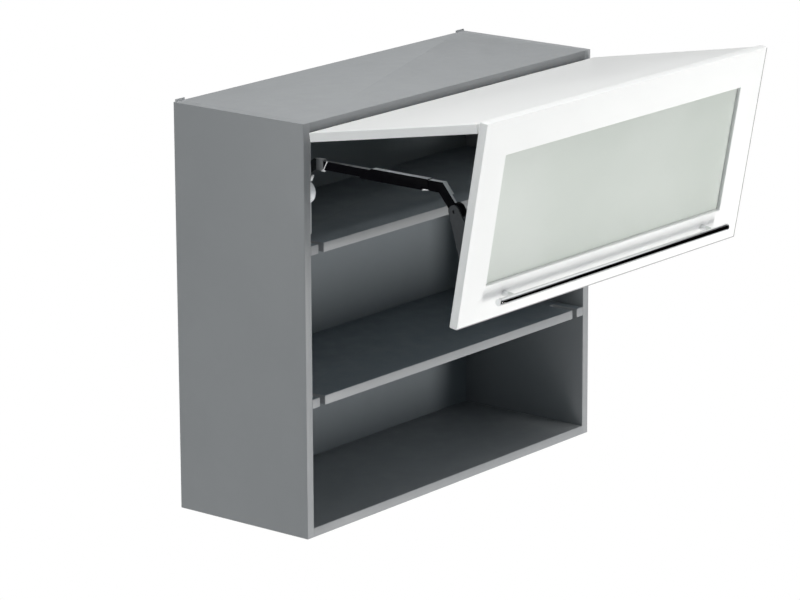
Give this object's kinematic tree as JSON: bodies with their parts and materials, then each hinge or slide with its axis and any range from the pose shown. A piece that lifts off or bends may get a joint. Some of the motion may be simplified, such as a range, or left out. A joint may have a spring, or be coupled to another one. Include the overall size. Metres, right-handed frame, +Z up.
{
  "type": "lift up wall cabinet",
  "caption": "Wall cabinet with shelves and a two-piece front that folds up on side lift arms; white upper front over a framed glass lower front with a bar handle.",
  "frame": {"origin": "centre of the bottom panel's rear edge, in the wall plane", "axes": "+Z up, -Y out of the wall towards the room, X across the width"},
  "size_m": [0.8, 0.6701, 0.7726],
  "materials": {
    "carcass_board": "grey melamine face, satin with a fine grain",
    "back_board": "grey lacquered fibreboard",
    "edge_band": "satin edge band",
    "zinc_steel": "bright zinc",
    "dowel_wood": "beech",
    "hinge_steel": "nickel plated",
    "lift_steel": "zinc plated sheet",
    "casing_silver": "silver grey, satin",
    "cap_silver": "satin chrome",
    "arm_black": "black, satin",
    "clip_wire": "bright wire",
    "bracket_grey": "dark grey",
    "front_white": "white lacquer, semi gloss",
    "frosted_glass": "frosted",
    "bumper_clear": "soft and clear",
    "handle_chrome": "polished"
  },
  "bodies": {
    "carcass": {"side_panel_left": "carcass_board", "side_panel_right": "carcass_board", "top_panel": "carcass_board", "bottom_panel": "carcass_board", "upper_shelf": "carcass_board", "lower_shelf": "carcass_board", "back_panel": "back_board", "side_edge_bands": "edge_band", "panel_edge_bands": "edge_band", "shelf_edge_bands": "edge_band", "shelf_pins": "zinc_steel", "corner_dowels": "dowel_wood", "cam_bolts": "zinc_steel", "cam_locks": "zinc_steel", "hanging_plate_left": "zinc_steel", "hanging_plate_right": "zinc_steel", "hanging_screws": "zinc_steel", "top_hinge_plates": "hinge_steel", "top_hinge_arms": "hinge_steel", "top_hinge_screws": "zinc_steel", "lift_base_left": "lift_steel", "lift_base_right": "lift_steel", "lift_screws": "zinc_steel", "lift_pins": "zinc_steel", "spring_packs": "lift_steel", "lift_casing_left": "casing_silver", "lift_casing_right": "casing_silver", "lift_cap_left": "cap_silver", "lift_cap_right": "cap_silver"},
    "upper_front": {"upper_front": "front_white", "top_hinge_cups": "hinge_steel", "top_cup_screws": "zinc_steel", "fold_hinge_arms": "hinge_steel", "fold_arm_screws": "zinc_steel"},
    "lower_front": {"lower_frame": "front_white", "glass_pane": "frosted_glass", "bead_rails": "front_white", "bead_stiles": "front_white", "fold_hinge_cups": "hinge_steel", "fold_cup_screws": "zinc_steel", "door_bumpers": "bumper_clear", "handle_bar": "handle_chrome", "handle_posts": "handle_chrome", "handle_screws": "zinc_steel", "door_bracket_left": "bracket_grey", "door_bracket_right": "bracket_grey", "bracket_screws": "bracket_grey"},
    "lift_arm_left": {"lift_lever_left": "lift_steel", "arm_rod_left": "arm_black", "arm_sleeve_left": "arm_black", "arm_elbow_left": "arm_black", "arm_rivet_left": "bracket_grey", "arm_clip_left": "clip_wire"},
    "lift_arm_right": {"lift_lever_right": "lift_steel", "arm_rod_right": "arm_black", "arm_sleeve_right": "arm_black", "arm_elbow_right": "arm_black", "arm_rivet_right": "bracket_grey", "arm_clip_right": "clip_wire"}
  },
  "joints": [
    {"name": "upper_front", "type": "hinge", "parent": "carcass", "child": "upper_front", "pos_m": [0, -0.306, 0.7081], "axis": [-1, 0, 0], "range_deg": [-100, 0]},
    {"name": "lower_front", "type": "hinge", "parent": "upper_front", "child": "lower_front", "pos_m": [0, -0.66064, 0.76251], "axis": [-1, 0, 0], "range_deg": [0, 110.2]},
    {"name": "lift_arm_left", "type": "hinge", "parent": "carcass", "child": "lift_arm_left", "pos_m": [-0.3555, -0.181, 0.57496], "axis": [-1, 0, 0], "range_deg": [-85.81, 0]},
    {"name": "lift_arm_right", "type": "hinge", "parent": "carcass", "child": "lift_arm_right", "pos_m": [0.3555, -0.181, 0.57496], "axis": [-1, 0, 0], "range_deg": [-85.81, 0]}
  ],
  "couplings": [
    {"joint": "lower_front", "follows": "upper_front", "ratio": -1.102},
    {"joint": "lift_arm_left", "follows": "upper_front", "ratio": 0.8579},
    {"joint": "lift_arm_right", "follows": "upper_front", "ratio": 0.8579}
  ]
}
